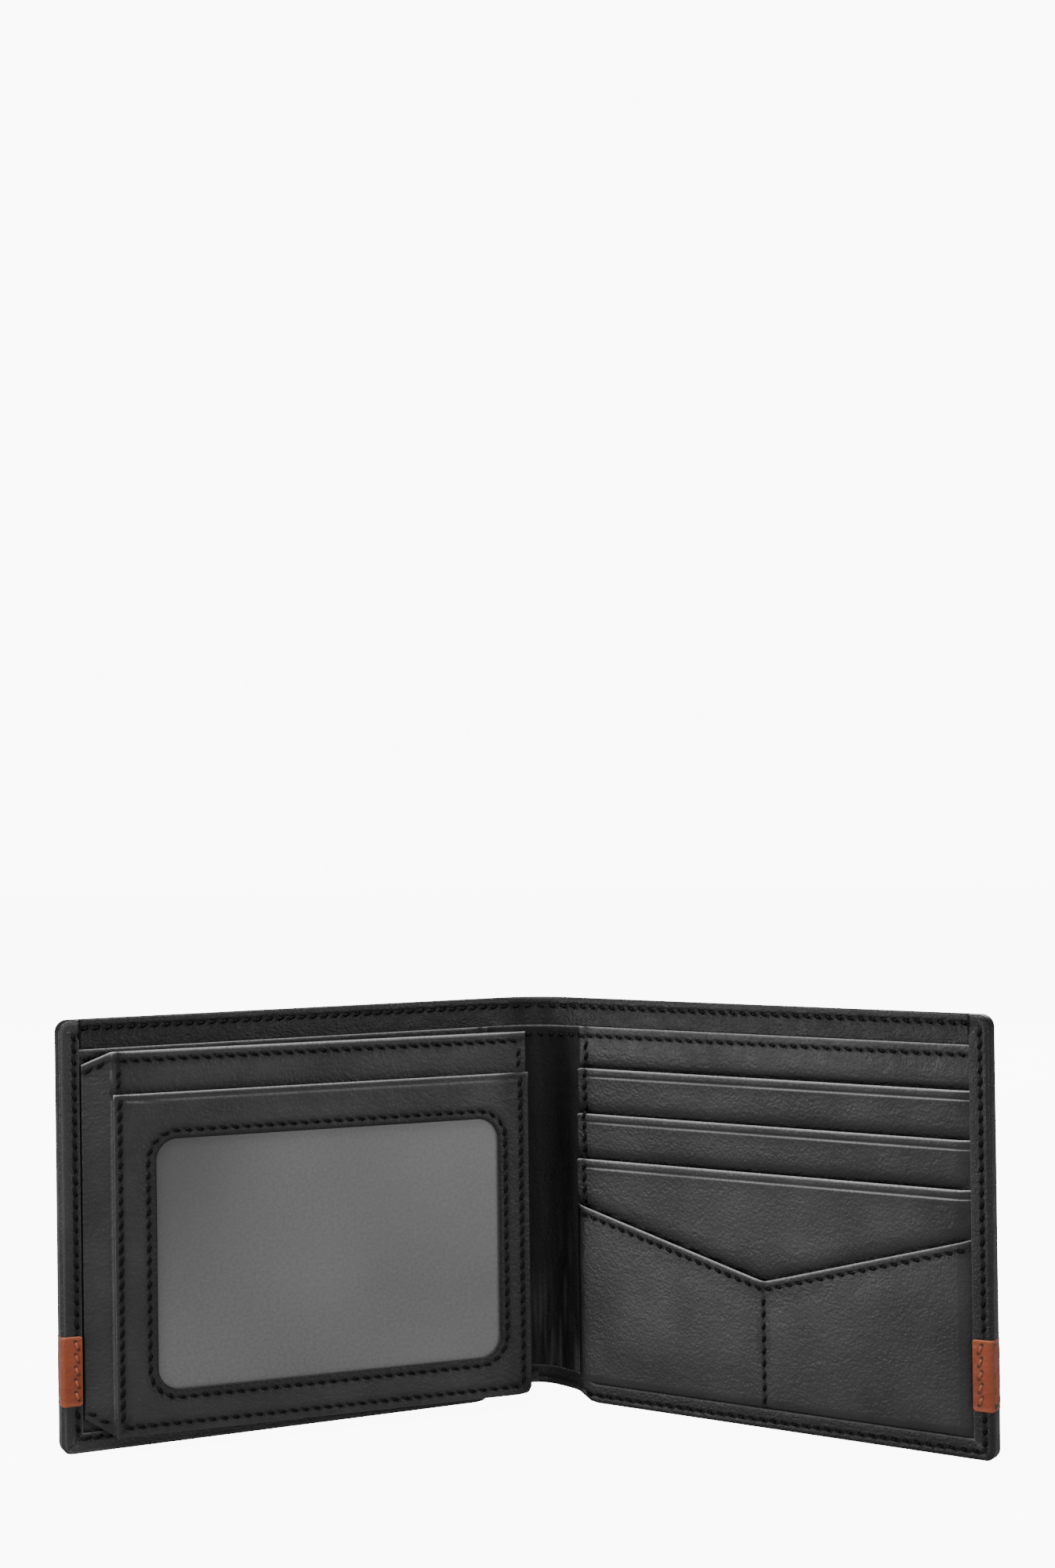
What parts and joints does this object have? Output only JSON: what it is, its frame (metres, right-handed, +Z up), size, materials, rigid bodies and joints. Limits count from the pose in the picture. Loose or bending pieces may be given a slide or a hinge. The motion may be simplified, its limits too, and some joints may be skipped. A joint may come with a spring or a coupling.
{
  "type": "folding wallet",
  "caption": "Black leather billfold standing open, with card slots, a V-topped slide pocket, a flip-out card window flap and tan edge tabs.",
  "frame": {"origin": "middle of the box round the wallet, on the surface that its bottom edges stand on", "axes": "+Z up along the fold, +X to the right as the open inside is faced, +Y away from the reader towards the spine"},
  "size_m": [0.1938, 0.0544, 0.089],
  "materials": {
    "black_leather": "smooth glazed leather with a soft sheen and lighter burnished edges",
    "black_lining": "fine woven lining, matt",
    "tan_leather": "mottled tan leather, lightly waxed",
    "frosted_film": "frosted clear film over a dark sheet",
    "black_thread": "waxed sewing thread",
    "brown_thread": "waxed sewing thread"
  },
  "bodies": {
    "spine": {"spine_bill_lining": "black_lining", "spine_inner_panel": "black_leather", "spine_leather": "black_leather", "spine_panel_lining": "black_lining", "spine_top_facing": "black_leather"},
    "left_cover": {"left_bill_lining": "black_lining", "left_card_slot_1": "black_leather", "left_card_slot_2": "black_leather", "left_card_slot_3": "black_leather", "left_cover_leather": "black_leather", "left_edge_tab": "tan_leather", "left_hem_thread_lower": "black_thread", "left_hem_thread_upper": "black_thread", "left_inner_panel": "black_leather", "left_panel_lining": "black_lining", "left_panel_thread": "black_thread", "left_slide_pocket": "black_leather", "left_tab_thread": "brown_thread", "left_top_facing": "black_leather", "left_top_thread": "black_thread"},
    "right_cover": {"right_bill_lining": "black_lining", "right_card_slot_1": "black_leather", "right_card_slot_2": "black_leather", "right_card_slot_3": "black_leather", "right_cover_leather": "black_leather", "right_edge_tab": "tan_leather", "right_hem_thread_lower": "black_thread", "right_hem_thread_upper": "black_thread", "right_inner_panel": "black_leather", "right_panel_lining": "black_lining", "right_panel_thread": "black_thread", "right_slide_pocket": "black_leather", "right_tab_thread": "brown_thread", "right_top_facing": "black_leather", "right_top_thread": "black_thread", "slide_pocket_centre_thread": "black_thread", "slide_pocket_v_thread": "black_thread"},
    "flap_gusset": {"flap_gusset": "black_leather"},
    "card_flap": {"flap_back_film": "frosted_film", "flap_back_frame": "black_leather", "flap_back_window_thread": "black_thread", "flap_edge_thread": "black_thread", "flap_front_film": "frosted_film", "flap_front_frame": "black_leather", "flap_middle_sheet": "black_lining", "flap_window_thread": "black_thread"}
  },
  "joints": [
    {"name": "left_fold", "type": "hinge", "parent": "spine", "child": "left_cover", "pos_m": [-0.00701, 0.0231, 0], "axis": [0, 0, 1], "range_deg": [-28.8, 59]},
    {"name": "right_fold", "type": "hinge", "parent": "spine", "child": "right_cover", "pos_m": [0.00701, 0.0231, 0], "axis": [0, 0, -1], "range_deg": [-28.8, 59]},
    {"name": "flap_root_fold", "type": "hinge", "parent": "left_cover", "child": "flap_gusset", "pos_m": [-0.09014, -0.02414, 0], "axis": [0, 0, -1], "range_deg": [-1, 95]},
    {"name": "flap_crease_fold", "type": "hinge", "parent": "flap_gusset", "child": "card_flap", "pos_m": [-0.0846, -0.0232, 0], "axis": [0, 0, -1], "range_deg": [-0.8, 74]}
  ],
  "couplings": [
    {"joint": "right_fold", "follows": "left_fold", "ratio": 1},
    {"joint": "flap_crease_fold", "follows": "flap_root_fold", "ratio": 0.77}
  ]
}
